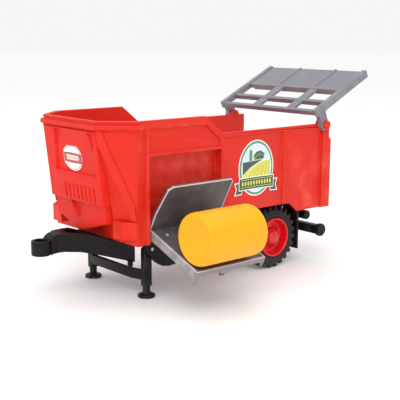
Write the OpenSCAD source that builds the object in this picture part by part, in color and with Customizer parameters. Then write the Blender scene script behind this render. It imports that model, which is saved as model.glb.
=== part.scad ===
// Toy farm trailer with a lifting rear gate, a tipping bale tray and a folding front stand.
// +X runs from the hitch eye to the rear, +Z is up, and the origin is the centre of the hitch eye.

/* [Overall] */
// Distance from the hitch eye to the side walls' front end
hitch_reach = 44; // [38:0.5:60]
// Length of the side walls
tub_length = 191; // [165:1:230]
// Outer width of the tub
tub_width = 100; // [92:1:124]
// Height of the hitch eye's centre above the ground
eye_height = 39.5; // [36:0.5:42]

/* [Tub] */
// Height of the front half's rim above the ground
rim_height = 126; // [118:1:150]
// Height of the rear half's rim above the ground
low_rim_height = 113; // [108:1:115]
// Height of the tub floor's top face
floor_height = 54.6; // [54.6:0.1:58]
// Thickness of the tub floor
floor_wall = 2.2; // [1.6:0.1:2.8]
// Thickness of the side walls
side_wall = 2.4; // [1.8:0.1:3]
// Height of the apron's lower edge at the front
apron_height = 42; // [41.8:0.1:44]
// Height of the apron's lower edge at the rear
rear_apron_height = 46; // [45:0.5:48]
// How far the bow stands out in front of the side walls
bow_depth = 20; // [14:0.5:24]
// Width of the flat front of the bow
bow_width = 64; // [56:1:72]
// Height of the sill under the rear gate
sill_height = 58; // [56:0.5:64]
// Depth of the tray recess in the side wall
recess_depth = 6.5; // [6.3:0.1:8]
// Width of the tray recess
recess_width = 64; // [58:1:72]
// Height of the tray recess's upper edge above the ground
recess_top = 101.8; // [98:0.2:104]

/* [Front panel] */
// Height of the grille's lower edge
grille_bottom = 68; // [66:0.5:72]
// Number of slots in the grille
slot_count = 8; // [4:1:10]
// Width of one slot
slot_width = 1.5; // [1:0.1:2]

/* [Wheels] */
// Radius of the tyre
tyre_radius = 25; // [22:0.25:25.4]
// Radius of the rim's outer lip
rim_radius = 15.5; // [13:0.25:17.5]
// Width of the tyre
tyre_width = 16; // [13:0.25:17]
// Distance from the tub's rear end to the axle
axle_setback = 48.4; // [40:0.5:60]
// Width over the outer faces of the tyres
track_over_tyres = 77; // [74:0.5:82]
// Diameter of the axle
axle_diameter = 4; // [3:0.1:5]
// Number of tread lugs on each shoulder
lug_count = 24; // [18:1:28]
// Height of a tread lug
lug_height = 2.2; // [1.2:0.1:3]

/* [Front stand] */
// Distance from the hitch eye to the legs
leg_reach = 64; // [62:0.5:68]
// Distance between the centres of the legs
leg_spacing = 66; // [62:0.5:68]
// Length of a leg's section along the trailer
leg_length = 6.6; // [5.6:0.1:7]
// Width of a leg's section across the trailer
leg_width = 4.6; // [4:0.1:5]
// Height of the stand's pivot above the ground
stand_pivot_height = 35; // [34:0.1:35.2]
// Radius of a foot
foot_radius = 6.2; // [5:0.1:6.3]
// Diameter of the stand's pivot pins
stand_pin_diameter = 2.4; // [2:0.1:2.6]

/* [Rear gate] */
// Height of the gate's pivot above the ground
gate_pivot_height = 112.5; // [110:0.5:112.5]
// Distance from the tub's rear end to the gate's pivot
gate_pivot_setback = 10.5; // [8:0.25:11]
// Length of the gate from its pivot line to its edge
gate_length = 61.4; // [50:0.2:65]
// Thickness of the gate
gate_thickness = 3.7; // [2.8:0.1:4.2]
// Angle of the raised gate above the horizontal
gate_raise = 26.1; // [10:0.1:45]
// Diameter of the gate's pivot studs
gate_pin_diameter = 4; // [3:0.1:5]

/* [Bale tray] */
// Length of the tray along the trailer
tray_length = 61.6; // [54:0.2:62.4]
// Depth of the tray from its corner to its outer edge
tray_depth = 52.8; // [44:0.2:56]
// Height of the tray's back plate
back_height = 35.8; // [30:0.1:40]
// Depth of the tray's skirt
skirt_depth = 5.5; // [4.5:0.1:5.8]
// Outward tip of the tray's deck
tray_tip = 21.4; // [0:0.1:26]
// Outward lean of the tray's back plate
back_lean = 28.4; // [22:0.1:34]
// Diameter of the tray's hinge pin
hinge_pin_diameter = 2.2; // [1.8:0.1:2.6]

/* [Bale] */
// Radius of the bale
bale_radius = 17.7; // [14:0.1:18]
// Length of the bale
bale_length = 49.6; // [40:0.2:54]
// Radius of the bale's rounded edges
bale_edge = 3; // [2:0.25:5]

/* [Hitch] */
// Inner diameter of the hitch eye
eye_bore = 9; // [7:0.1:9.6]
// Outer diameter of the hitch eye
eye_outer = 13.4; // [12.6:0.1:15]
// Height of the hitch eye
eye_thickness = 10.2; // [8:0.1:11]

/* [Fits] */
// Clearance around a turning pin or axle, on the radius
running_gap = 0.06; // [0.02:0.01:0.1]
// Gap between pieces that pass each other
side_gap = 0.5; // [0.4:0.05:0.8]

/* [Hidden] */
$fn = 64;

eps = 0.01;
cut = 200;
half_w = tub_width / 2;
side_front = hitch_reach;
tub_rear = hitch_reach + tub_length;
bow_front = side_front - bow_depth;
bow_half = bow_width / 2;
apron_top = floor_height - floor_wall;
// Moulded pieces that meet in a seam stay this far apart.
seam = 0.05;

// Rim steps down between these two places along the trailer.
rim_step_front = side_front + 60;
rim_step_rear = rim_step_front + 16;
bow_lip_height = rim_height - 6;
box_top = 59;

// Tray recess in both side walls.
recess_front = side_front + 11;
recess_rear = recess_front + recess_width;
recess_face = half_w - recess_depth;
rib_height = 2.6;
panel_depth = 1.4;

// Places along the trailer of the side wall's rear features.
step_front = tub_rear - 53.7;
flange_front = tub_rear - 10;
flange_out = 2;
flange_top = low_rim_height - 6;

axle_x = tub_rear - axle_setback;
tyre_face = track_over_tyres / 2;
tyre_back = tyre_face - tyre_width;
stand_x = leg_reach + 1.5;
leg_y = leg_spacing / 2;
gate_x = tub_rear - gate_pivot_setback;
gate_offset = gate_pivot_setback + 0.4 + gate_thickness;
arm_gap = half_w + 0.4;
arm_width = 4.2;

// Corner between the tray's deck and its back plate.
corner_y = half_w - 3;
corner_z = 51.2;
hinge_s = 1.6;
hinge_n = -2.6;
hinge_y = corner_y + hinge_s * cos(tray_tip) + hinge_n * sin(tray_tip);
hinge_z = corner_z - hinge_s * sin(tray_tip) + hinge_n * cos(tray_tip);
tray_x = (recess_front + recess_rear) / 2;

// Moves a piece drawn with z = 0 on the ground into the frame of the hitch eye.
module above_ground() { translate([0, 0, -eye_height]) children(); }

// Extrudes a side view, drawn as [x, z], to both sides of the middle plane.
module from_side(half) {
    translate([0, half, 0]) rotate([90, 0, 0]) linear_extrude(2 * half) children();
}

// Extrudes a plan view between two heights.
module from_above(low, high) { translate([0, 0, low]) linear_extrude(high - low) children(); }

// A straight cylinder along Y between two places.
module rod_y(x, z, from_y, to_y, radius) {
    translate([x, from_y, z]) rotate([-90, 0, 0]) cylinder(h = to_y - from_y, r = radius);
}

// A box from its lowest to its highest corner.
module block(low, high) { translate(low) cube(high - low); }

// Repeats its children on the left side, which is -Y, and on the right side.
module both_sides() {
    children();
    mirror([0, 1, 0]) children();
}

// ---------- tub ----------

// Side view of the tub, shrunk by a wall thickness for the inside.
module tub_side(inset, bottom) {
    polygon([
        [bow_front + inset, rim_height + (inset > 0 ? eps : 0)],
        [bow_front + inset, bow_lip_height],
        [side_front + inset, max(box_top, bottom)],
        [side_front + inset, bottom],
        [tub_rear + (inset > 0 ? eps : 0), bottom],
        [tub_rear + (inset > 0 ? eps : 0), low_rim_height + (inset > 0 ? eps : 0)],
        [rim_step_rear, low_rim_height + (inset > 0 ? eps : 0)],
        [rim_step_front, rim_height + (inset > 0 ? eps : 0)]
    ]);
}

// Plan view of the tub: straight sides and a bow with two cut corners.
module tub_plan(inset) {
    polygon([
        [bow_front + inset, -bow_half + inset * 0.4],
        [side_front + inset, -half_w + inset],
        [tub_rear + (inset > 0 ? eps : 0), -half_w + inset],
        [tub_rear + (inset > 0 ? eps : 0), half_w - inset],
        [side_front + inset, half_w - inset],
        [bow_front + inset, bow_half - inset * 0.4]
    ]);
}

module tub_solid(inset, bottom) {
    intersection() {
        from_side(half_w) tub_side(inset, bottom);
        from_above(0, cut) tub_plan(inset);
    }
}

// Shallow panels and the deep tray recess that are sunk into the left wall.
module wall_pockets() {
    face = -half_w - eps;
    // Groove in the front post.
    block([side_front + 5, face, apron_height - 1], [side_front + 8, -half_w + 1, rim_height - 6]);
    // Upper panel over the tray recess.
    intersection() {
        block([recess_front, face, recess_top + rib_height], [recess_rear - 1, -half_w + panel_depth, cut]);
        translate([0, 0, -6]) from_side(half_w + 1) tub_side(0, apron_height);
    }
    // Tray recess, open at the bottom.
    block([recess_front, face, apron_height - 1], [recess_rear, -recess_face, recess_top]);
    // Label panel between the recess and the rear section.
    block([recess_rear + 1.5, face, apron_height - 1], [step_front, -half_w + panel_depth, low_rim_height - 3]);
    // Rear section, sunk less than the label panel.
    block([step_front - eps, face, apron_height - 1],
        [flange_front, -half_w + panel_depth / 3, low_rim_height - 3]);
    block([step_front - 1.6, face, apron_height - 1],
        [step_front + 1.2, -half_w + panel_depth * 1.25, low_rim_height - 3]);
}

// Flange at the rear end of the left wall, cut back at its top for the gate's arm.
module rear_flange() {
    from_y = -half_w - flange_out;
    intersection() {
        block([flange_front, from_y, rear_apron_height], [tub_rear, -half_w + side_wall, flange_top]);
        from_side(half_w + flange_out) polygon([
            [flange_front, rear_apron_height], [tub_rear, rear_apron_height],
            [tub_rear, flange_top - 6.4], [flange_front, flange_top]
        ]);
    }
}

// Leaning cheek beside the front panel, and the flat band along its outer edge.
cheek_top = [bow_front, -bow_half, bow_lip_height];
cheek_foot = [bow_front + 12.9, -bow_half - seam, box_top];
cheek_corner = [side_front, -half_w, box_top];
cheek_inner = [side_front + 1, -bow_half - seam, box_top + 0.3];
band_along = (cheek_corner - cheek_top) / norm(cheek_corner - cheek_top);
cheek_face = cross(cheek_corner - cheek_top, cheek_foot - cheek_top);
facet_out = [bow_half - half_w, bow_front - side_front, 0];
band_sum = -cheek_face / norm(cheek_face) + facet_out / norm(facet_out);
band_out = band_sum / norm(band_sum);
band_side = cross(band_out, band_along);
band_width = 6.4;

module bow_cheek() {
    polyhedron(
        points = [cheek_top - [0, seam, 0], cheek_foot, cheek_corner, cheek_inner],
        faces = [[2, 1, 0], [3, 2, 0], [1, 3, 0], [2, 3, 1]]
    );
    intersection() {
        multmatrix([
            [band_along[0], band_side[0], band_out[0], cheek_top[0]],
            [band_along[1], band_side[1], band_out[1], cheek_top[1]],
            [band_along[2], band_side[2], band_out[2], cheek_top[2]],
            [0, 0, 0, 1]
        ]) block([-4, -band_width / 2, -1.6], [norm(cheek_corner - cheek_top) + 4, band_width / 2, 0.5]);
        block([0, -half_w, box_top + 0.6], [side_front + 3, -bow_half - seam, bow_lip_height]);
    }
}

module tub_shell() color("orangered") above_ground() difference() {
    union() {
        tub_solid(0, apron_height);
        both_sides() rear_flange();
        // Lugs that carry the gate's studs.
        both_sides() rod_y(gate_x, gate_pivot_height, -half_w, -half_w + side_wall, 4.6);
        both_sides() bow_cheek();
        // Two beads round the rim of the bow.
        for (bead = [[-1.6, 0, 0.4], [-5.9, -2.8, 2.2]])
            intersection() {
                from_above(rim_height + bead[0], rim_height + bead[1]) offset(delta = bead[2]) tub_plan(0);
                block([bow_front - 3, -cut, 0], [side_front + 4, cut, cut]);
            }
    }
    // Inside of the tub.
    difference() {
        intersection() {
            union() {
                tub_solid(side_wall, floor_height);
                block([bow_front + side_wall + 2, -bow_half, rim_height - eps],
                    [rim_step_front - 1, bow_half, rim_height + 1]);
            }
            block([bow_front, -cut, floor_height], [tub_rear + 1, cut, cut]);
        }
        // The recess stands into the load space as a box.
        both_sides() block([recess_front - side_wall, -half_w, 0],
            [recess_rear + side_wall, -recess_face + side_wall, recess_top + rib_height]);
        // Sill under the rear gate.
        block([tub_rear - side_wall, -half_w, 0], [tub_rear + 1, half_w, sill_height]);
    }
    // Space under the floor, inside the apron.
    difference() {
        block([side_front + side_wall, -half_w + side_wall, 0],
            [tub_rear - side_wall, half_w - side_wall, apron_top]);
        both_sides() block([recess_front - side_wall, -half_w, 0],
            [recess_rear + side_wall, -recess_face + side_wall, cut]);
    }
    // Lower edge of the apron: high over the wheels, and a little higher at the rear.
    from_side(half_w + flange_out + 1) polygon([
        [recess_rear + 6, 0], [recess_rear + 6, apron_height],
        [recess_rear + 12, floor_height - 1.2], [axle_x + 4.4, floor_height - 1.2],
        [axle_x + 13.4, rear_apron_height], [tub_rear + 1, rear_apron_height], [tub_rear + 1, 0]
    ]);
    both_sides() wall_pockets();
    // Seats for the gate's studs and for the tray's hinge pin.
    both_sides() rod_y(gate_x, gate_pivot_height, -half_w - 1, -half_w + side_wall + 1, gate_pin_diameter / 2);
    translate([recess_front - side_wall - 1, -hinge_y, hinge_z]) rotate([0, 90, 0])
        cylinder(h = recess_width + 2 * side_wall + 2, d = hinge_pin_diameter);
    // Screw holes in the floor.
    for (place = screw_places) translate([place[0], place[1], apron_top - 1])
        cylinder(h = floor_wall + 2, d = screw_shank);
}

// ---------- front panel ----------

// Middle panel of the bow: a badge field, a grille and a chin with a vee notch.
panel_proud = 0.8;
panel_lean = 5;
field_bottom = 87;
chin_low = 47;
chin_x = bow_front + 8;
slot_pitch = 4.3;

module front_panel() color("crimson") above_ground() difference() {
    union() {
        intersection() {
            from_side(bow_half) polygon([
                [bow_front - panel_proud, bow_lip_height - 1.2], [bow_front + panel_lean, grille_bottom],
                [side_front - seam, grille_bottom], [side_front - seam, box_top + 0.6],
                [bow_front, bow_lip_height - 1.2]
            ]);
            difference() {
                block([0, -bow_half, 0], [cut, bow_half, cut]);
                tub_solid(0, apron_height);
            }
        }
        // Chin: a thick plate whose lower edge comes to a point in the middle.
        intersection() {
            block([chin_x, -bow_half + 1.5, chin_low], [side_front - seam, bow_half - 1.5, grille_bottom + eps]);
            translate([chin_x, 0, 0]) rotate([90, 0, 90]) linear_extrude(cut) polygon([
                [-bow_half, cut], [-bow_half, chin_low + 9], [0, chin_low], [bow_half, chin_low + 9], [bow_half, cut]
            ]);
            difference() {
                block([0, -bow_half, 0], [cut, bow_half, cut]);
                tub_solid(0, apron_height);
            }
        }
    }
    // Vee notch in the chin.
    translate([chin_x - 1, 0, 0]) rotate([90, 0, 90]) linear_extrude(5) polygon([
        [-9, grille_bottom - 2], [0, chin_low + 6.5], [9, grille_bottom - 2]
    ]);
    // Badge field, sunk between two side ribs.
    badge_field();
    // Slots of the grille.
    for (i = [0 : slot_count - 1])
        translate([bow_front - 4, (i - (slot_count - 1) / 2) * slot_pitch, grille_bottom + 2.5])
            cube([11.5, slot_width, field_bottom - grille_bottom - 7]);
}

// The sunk field runs parallel to the panel's leaning face.
module badge_field() {
    top = bow_lip_height - 4.5;
    lean = (panel_lean + panel_proud) / (bow_lip_height - 1.2 - grille_bottom);
    face_x = bow_front - panel_proud;
    high = bow_lip_height - 1.2;
    from_y = bow_half - 4;
    translate([0, from_y, 0]) rotate([90, 0, 0]) linear_extrude(2 * from_y) polygon([
        [face_x + (high - top) * lean - 5, top], [face_x + (high - top) * lean + 1.1, top],
        [face_x + (high - field_bottom) * lean + 1.1, field_bottom],
        [face_x + (high - field_bottom) * lean - 5, field_bottom]
    ]);
}

// Thin shield-shaped badge on the sunk field.
module front_badge() color("whitesmoke") above_ground() {
    lean = (panel_lean + panel_proud) / (bow_lip_height - 1.2 - grille_bottom);
    place_z = 98.6;
    place_x = bow_front - panel_proud + (bow_lip_height - 1.2 - place_z) * lean + 1.1;
    translate([place_x, 0, place_z]) rotate([0, -atan(lean), 0]) rotate([0, -90, 0])
        linear_extrude(0.5) scale([0.72, 1]) circle(r = 13);
}

// Corner block under each cheek, between the chin and the side wall. It follows the bow's outline.
corner_low = 46.6;
corner_front = cheek_foot[0] - 0.5;
module lower_corner() from_above(corner_low, box_top - seam) polygon([
    [corner_front, cheek_foot[1] - seam],
    [corner_front, -bow_half - (corner_front - bow_front) * (half_w - bow_half) / bow_depth],
    [side_front - seam, -half_w + seam * (half_w - bow_half) / bow_depth],
    [side_front - seam, cheek_foot[1] - seam]
]);
module lower_corner_left() color("orangered") above_ground() lower_corner();
module lower_corner_right() color("orangered") above_ground() mirror([0, 1, 0]) lower_corner();

// ---------- labels ----------

label_x = tub_rear - 80.1;
label_z = 84.6;
label_height = 41.8;
label_width = 36;
ribbon_foot = -15.6;
ribbon_height = 9.4;

// Thin oval label with a straight band across its lower half, on the left wall's outer face.
module side_label() {
    translate([label_x, -half_w + panel_depth, label_z]) rotate([90, 0, 0]) linear_extrude(0.4) union() {
        scale([label_width / label_height, 1]) circle(d = label_height);
        translate([-label_width / 2 - 4.6, ribbon_foot - 2]) square([label_width + 9.2, ribbon_height + 2]);
    }
}

module side_label_left() color("darkgreen") above_ground() side_label();
module side_label_right() color("darkgreen") above_ground() mirror([0, 1, 0]) side_label();

// ---------- chassis ----------

rail_inner = 9;
rail_outer = 16;
frame_low = 42;
front_plate_end = 92;
screw_shank = 2;
screw_places = [for (x = [side_front + 10, axle_x - 34, tub_rear - 12]) for (y = [-12.5, 12.5]) [x, y]];
cheek_out = leg_y + leg_width / 2 + side_gap;
cheek_wall = 2.4;
cheek_end = stand_x + 22;
bar_x = tub_rear - 3.4;
bar_depth = 6.6;
bar_height = 25.9;
stub_height = 35.8;

module chassis_frame() color("dimgray") above_ground() difference() {
    union() {
        // Wide plate over the stand, narrow spine between the wheels.
        block([side_front + side_wall + 0.5, -cheek_out - cheek_wall, apron_top - 2.6],
            [front_plate_end, cheek_out + cheek_wall, apron_top]);
        block([front_plate_end - eps, -rail_outer, apron_top - 2.6],
            [tub_rear - side_wall - 0.5, rail_outer, apron_top]);
        // Two long rails under the plate.
        both_sides() block([side_front + side_wall + 0.5, -rail_outer, frame_low],
            [tub_rear - side_wall - 0.5, -rail_inner, apron_top - 2.6 + eps]);
        // Outer cheeks that hold the stand's pins.
        both_sides() intersection() {
            block([stand_x - 6, -cheek_out - cheek_wall, 0], [cheek_end, -cheek_out, apron_top - 2.6 + eps]);
            from_side(cut) polygon([
                [stand_x - 6, cut], [stand_x - 6, 37], [stand_x - 3, 31.5], [stand_x + 3, 25],
                [stand_x + 9, 21.5], [stand_x + 15, 20.4], [cheek_end, 21], [cheek_end, cut]
            ]);
        }
        // Axle block.
        block([axle_x - 9, -rail_outer, tyre_radius - 7], [axle_x + 9, rail_outer, frame_low + eps]);
        // Rear hangers of the cross bar.
        both_sides() block([bar_x - bar_depth / 2 - 2, -rail_outer - 4, bar_height - 5.5],
            [tub_rear - side_wall - 0.5, -rail_outer, apron_top]);
        both_sides() block([bar_x - bar_depth / 2 - 2, -rail_outer - eps, bar_height + 3.5],
            [tub_rear - side_wall - 0.5, -rail_inner, frame_low + eps]);
        both_sides() rod_y(bar_x, stub_height, -rail_outer - 16, -rail_outer - 4 + eps, 3.7);
        // Hangers of the mudflaps.
        both_sides() block([flap_x, -tyre_face + 2, frame_low + 3], [flap_x + 5, -rail_outer + eps, apron_top]);
    }
    rod_y(axle_x, tyre_radius, -cut, cut, axle_diameter / 2);
    rod_y(stand_x, stand_pivot_height, -cut, cut, stand_pin_diameter / 2);
    block([bar_x - bar_depth / 2, -rail_outer - 5, bar_height - 3.5],
        [tub_rear + 1, rail_outer + 5, bar_height + 3.5]);
    for (place = screw_places) translate([place[0], place[1], apron_top - 12])
        cylinder(h = 13, d = screw_shank);
}

arms_end = stand_x - 7.8;
// A-shaped drawbar with the hitch eye at its tip.
module drawbar() color("dimgray") above_ground() difference() {
    union() {
        translate([0, 0, eye_height - eye_thickness / 2]) cylinder(h = eye_thickness, d = eye_outer);
        intersection() {
            from_side(cut) polygon([
                [3, 34.6], [4, eye_height + 4.9], [8, 47.6], [13, 48.6], [24, 47.4], [31, 46.4],
                [side_front - 1, frame_low], [arms_end, frame_low], [arms_end, 25.4],
                [46, 28.6], [34, 32.2], [24, 34.6], [14, 35.4]
            ]);
            from_above(0, cut) union() {
                both_sides() polygon([
                    [5, 0], [5, -5.6], [10, -5.6], [arms_end, -29], [arms_end, -23.6],
                    [20, -5], [20, 0]
                ]);
                // Cross members of the A.
                polygon([[36, -14], [40, -16], [40, 16], [36, 14]]);
                polygon([[arms_end - 4, -25], [arms_end, -25], [arms_end, 25], [arms_end - 4, 25]]);
            }
        }
        // Stop pegs over the stand's cross bar.
        both_sides() translate([arms_end - 2, -25.4, 21.6]) cylinder(h = 8, r = 1.9);
    }
    cylinder(h = cut, d = eye_bore);
}

module chassis_screws() color("silver") above_ground() for (place = screw_places)
    translate([place[0], place[1], 0]) {
        translate([0, 0, apron_top - 9]) cylinder(h = 9 + floor_wall, d = screw_shank);
        translate([0, 0, floor_height]) cylinder(h = 1, d = 4);
    }

axle_end = tyre_face - 6;
module axle_rod() color("silver") above_ground() rod_y(axle_x, tyre_radius, -axle_end, axle_end, axle_diameter / 2);

// Flap of soft plastic behind a wheel.
flap_x = axle_x + tyre_radius + 3.6;
module mudflap() block([flap_x - 1.8, -tyre_face + 0.8, 11.4], [flap_x, -tyre_back, apron_top - 1]);
module mudflap_left() color("dimgray") above_ground() mudflap();
module mudflap_right() color("dimgray") above_ground() mirror([0, 1, 0]) mudflap();

bar_end = 44.6;
module rear_bar() color("dimgray") above_ground()
    block([bar_x - bar_depth / 2, -bar_end, bar_height - 3.5], [bar_x + bar_depth / 2, bar_end, bar_height + 3.5]);
module rear_bar_caps() color("dimgray") above_ground() both_sides()
    rod_y(bar_x, bar_height, -bar_end - 3.4, -bar_end, 5.2);

// ---------- pins ----------

module stand_pins() color("silver") above_ground() both_sides()
    rod_y(stand_x, stand_pivot_height, -cheek_out - cheek_wall, -leg_y + leg_width / 2 - 0.5, stand_pin_diameter / 2);

module gate_studs() color("crimson") above_ground() both_sides() {
    rod_y(gate_x, gate_pivot_height, -arm_gap - arm_width - 2.6, -half_w + side_wall, gate_pin_diameter / 2);
    rod_y(gate_x, gate_pivot_height, -arm_gap - arm_width - 2.6, -arm_gap - arm_width - 0.3, gate_pin_diameter / 2 + 1.2);
}

module tray_hinge_pin() color("silver") above_ground()
    translate([recess_front - side_wall, -hinge_y, hinge_z]) rotate([0, 90, 0])
        cylinder(h = recess_width + 2 * side_wall, d = hinge_pin_diameter);

// ---------- wheels ----------

// Everything of a wheel is drawn round +Z, with its outer face up and its middle plane at z = 0.
module on_left_axle() above_ground() translate([axle_x, -tyre_face + tyre_width / 2, tyre_radius])
    rotate([90, 0, 0]) children();
module on_right_axle() above_ground() translate([axle_x, tyre_face - tyre_width / 2, tyre_radius])
    rotate([-90, 0, 0]) children();

carcass_radius = tyre_radius - lug_height;
lug_width = 3.2;
module tyre() {
    half = tyre_width / 2;
    rotate_extrude($fn = 96) polygon([
        [rim_radius, -half + 1], [rim_radius + 3, -half], [carcass_radius - 3, -half],
        [carcass_radius, -half + 3], [carcass_radius, half - 3], [carcass_radius - 3, half],
        [rim_radius + 3, half], [rim_radius, half - 1]
    ]);
    intersection() {
        cylinder(h = tyre_width - 1, r = tyre_radius, center = true, $fn = 96);
        union() for (i = [0 : lug_count - 1]) for (row = [0, 1]) rotate([0, 0, (i + row / 2) * 360 / lug_count])
            translate([carcass_radius - 3, -lug_width / 2, row == 0 ? -half : -1])
                cube([lug_height + 4, lug_width, half + 1]);
    }
}

module rim() {
    half = tyre_width / 2;
    rotate_extrude($fn = 96) polygon([
        [axle_diameter / 2 + running_gap, -half + 1], [6, -half + 1], [6, -1.5], [rim_radius - 3, -1.5],
        [rim_radius - 2.4, -half + 1], [rim_radius, -half + 1], [rim_radius, half - 1],
        [rim_radius - 0.2, half + 0.6], [rim_radius - 1.4, half + 0.6], [rim_radius - 3, 1.5],
        [6.5, 2.5], [6, half - 2], [axle_diameter / 2 + running_gap, half - 2]
    ]);
}

// Domed cap that closes the hub over the axle's end.
module hub_cap() {
    half = tyre_width / 2;
    rotate_extrude($fn = 64) polygon([
        [0, half - 2], [6, half - 2], [6, half - 0.6], [4.6, half + 0.9], [2.4, half + 1.5], [0, half + 1.7]
    ]);
}

module tyre_left() color("black") on_left_axle() tyre();
module rim_left() color("red") on_left_axle() rim();
module hub_cap_left() color("red") on_left_axle() hub_cap();
module tyre_right() color("black") on_right_axle() tyre();
module rim_right() color("red") on_right_axle() rim();
module hub_cap_right() color("red") on_right_axle() hub_cap();

// ---------- front stand ----------

leg_low = 8;
neck_radius = 2.7;
bar_low = 13;
bar_high = 20;
bar_front = leg_reach - 7;

module stand_frame() color("dimgray") above_ground() difference() {
    union() {
        both_sides() {
            block([leg_reach - leg_length / 2, -leg_y - leg_width / 2, leg_low],
                [leg_reach + leg_length / 2, -leg_y + leg_width / 2, stand_pivot_height]);
            rod_y(stand_x, stand_pivot_height, -leg_y - leg_width / 2, -leg_y + leg_width / 2, 4);
        }
        // Cross bar, bowed forward between the legs.
        from_above(bar_low, bar_high) polygon([
            [leg_reach - 1.6, -leg_y], [leg_reach - 1.6, -leg_y + 3], [bar_front + 3.2, -leg_y + 11],
            [bar_front + 3.2, leg_y - 11], [leg_reach - 1.6, leg_y - 3], [leg_reach - 1.6, leg_y],
            [leg_reach - 2.8, leg_y], [bar_front, leg_y - 9], [bar_front, -leg_y + 9], [leg_reach - 2.8, -leg_y]
        ]);
    }
    rod_y(stand_x, stand_pivot_height, -cut, cut, stand_pin_diameter / 2 + running_gap);
}

module foot() translate([leg_reach, -leg_y, 0]) {
    cylinder(h = leg_low, r = neck_radius);
    cylinder(h = 2, r = foot_radius);
    translate([0, 0, 2]) cylinder(h = 1.2, r1 = foot_radius, r2 = neck_radius + 0.6);
}
module foot_left() color("dimgray") above_ground() foot();
module foot_right() color("dimgray") above_ground() mirror([0, 1, 0]) foot();

// ---------- rear gate ----------

// The gate is drawn shut-flat along +X with its pivot at the origin and its face gate_offset above.
module at_gate() above_ground() translate([gate_x, 0, gate_pivot_height]) rotate([0, -gate_raise, 0]) children();

gate_half = arm_gap + arm_width;
side_bar_rise = 1;
gate_back = gate_offset - gate_thickness;
gate_start = -5.6;
plate_start = 29;
mid_bar_start = 8.9;
slat_centres = [14.5, -23.6];
rib_centres = [17, -22.6];
slat_width = 8.4;
bar_width = 3.6;
side_bar_width = 4.2;
deep_bar_depth = 5;
deep_half = half_w - side_wall - 0.8;

module gate_frame() color("slategray") at_gate() difference() {
    union() {
        both_sides() {
            // Side bar, standing a little over the gate, and the arm down to the pivot.
            block([gate_start, -gate_half, gate_back], [gate_length, -gate_half + side_bar_width, gate_offset + side_bar_rise]);
            block([gate_start, -gate_half, gate_offset - deep_bar_depth],
                [gate_length, -gate_half + arm_width - 2, gate_back + eps]);
            block([-3.4, -gate_half, 0], [4.2, -gate_half + arm_width, gate_offset - 1]);
            rod_y(0, 0, -gate_half, -gate_half + arm_width, 4.2);
        }
        // Cross bars.
        for (start = [gate_start, mid_bar_start])
            block([start, -gate_half + 1, gate_back], [start + bar_width, gate_half - 1, gate_offset]);
        // Slats between the bars and the plate.
        for (centre = slat_centres)
            block([gate_start + bar_width - eps, centre - slat_width / 2, gate_back + 1.2],
                [plate_start, centre + slat_width / 2, gate_offset - 0.4]);
    }
    rod_y(0, 0, -cut, cut, gate_pin_diameter / 2 + running_gap);
}

// Solid plate at the gate's free end, with two ribs.
module gate_plate() color("slategray") at_gate() {
    edge = gate_half - side_bar_width;
    // Deep edge, which hangs between the side walls when the gate is shut.
    block([plate_start, -deep_half, gate_offset - deep_bar_depth], [plate_start + bar_width, deep_half, gate_offset]);
    block([plate_start, -edge, gate_back], [gate_length - 0.6, edge, gate_offset]);
    for (centre = rib_centres)
        block([plate_start + 5, centre - 1.1, gate_offset - eps], [gate_length - 0.2, centre + 1.1, gate_offset + 0.8]);
}

// ---------- bale tray ----------

// The tray is drawn level: its corner at the origin, +Y outwards along the deck, +Z up its back plate.
// It is then tipped outwards and mirrored to the left wall.
module at_tray() above_ground() mirror([0, 1, 0])
    translate([tray_x, corner_y, corner_z]) rotate([-tray_tip, 0, 0]) children();

deck_wall = 2.2;
back_wall = 1.8;
barrel_radius = 2.3;
back_foot = 0.6;
tray_half = tray_length / 2;
lip = 1.2;

module tray_skirt() color("lightgray") at_tray() difference() {
    block([-tray_half, 0.2, -skirt_depth], [tray_half, tray_depth, lip - 0.6]);
    block([-tray_half + 2, -1, -skirt_depth - 1], [tray_half - 2, tray_depth - 2, cut]);
    pin_way();
}

module tray_deck() color("dimgray") at_tray() difference() {
    union() {
        block([-tray_half + 2, -back_wall, -deck_wall], [tray_half - 2, tray_depth - 2, 0]);
        // Hinge barrel under the back plate's foot.
        translate([-tray_half + 2, hinge_s, hinge_n]) rotate([0, 90, 0])
            cylinder(h = tray_length - 4, r = barrel_radius);
        block([-tray_half + 2, hinge_s - barrel_radius, hinge_n],
            [tray_half - 2, hinge_s + barrel_radius, -deck_wall + eps]);
    }
    rotate([tray_tip - back_lean, 0, 0]) block([-cut, -back_wall - 1, -back_foot], [cut, 0, cut]);
    pin_way();
}

// Way for the hinge pin through the tray.
module pin_way() translate([-cut, hinge_s, hinge_n]) rotate([0, 90, 0])
    cylinder(h = 2 * cut, r = hinge_pin_diameter / 2 + running_gap);

module tray_back() color("dimgray") at_tray() rotate([90 + tray_tip - back_lean, 0, 0])
    linear_extrude(back_wall) polygon([
        [-tray_half, -back_foot], [tray_half, -back_foot], [tray_half, back_height - 2], [tray_half - 2, back_height],
        [-tray_half + 7, back_height], [-tray_half + 3.4, back_height - 2.4], [-tray_half, 14]
    ]);

// ---------- bale ----------

bale_out = 41.5;
bale_lift = 0.3;
bale_end_gap = 1.3;
module bale() color("gold") at_tray()
    translate([-tray_half + bale_end_gap, bale_out, bale_radius + bale_lift]) rotate([0, 90, 0])
        rotate_extrude($fn = 96) union() {
            square([bale_radius - bale_edge, bale_length]);
            translate([0, bale_edge]) square([bale_radius, bale_length - 2 * bale_edge]);
            for (end = [bale_edge, bale_length - bale_edge]) translate([bale_radius - bale_edge, end])
                circle(r = bale_edge, $fn = 48);
        }

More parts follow.
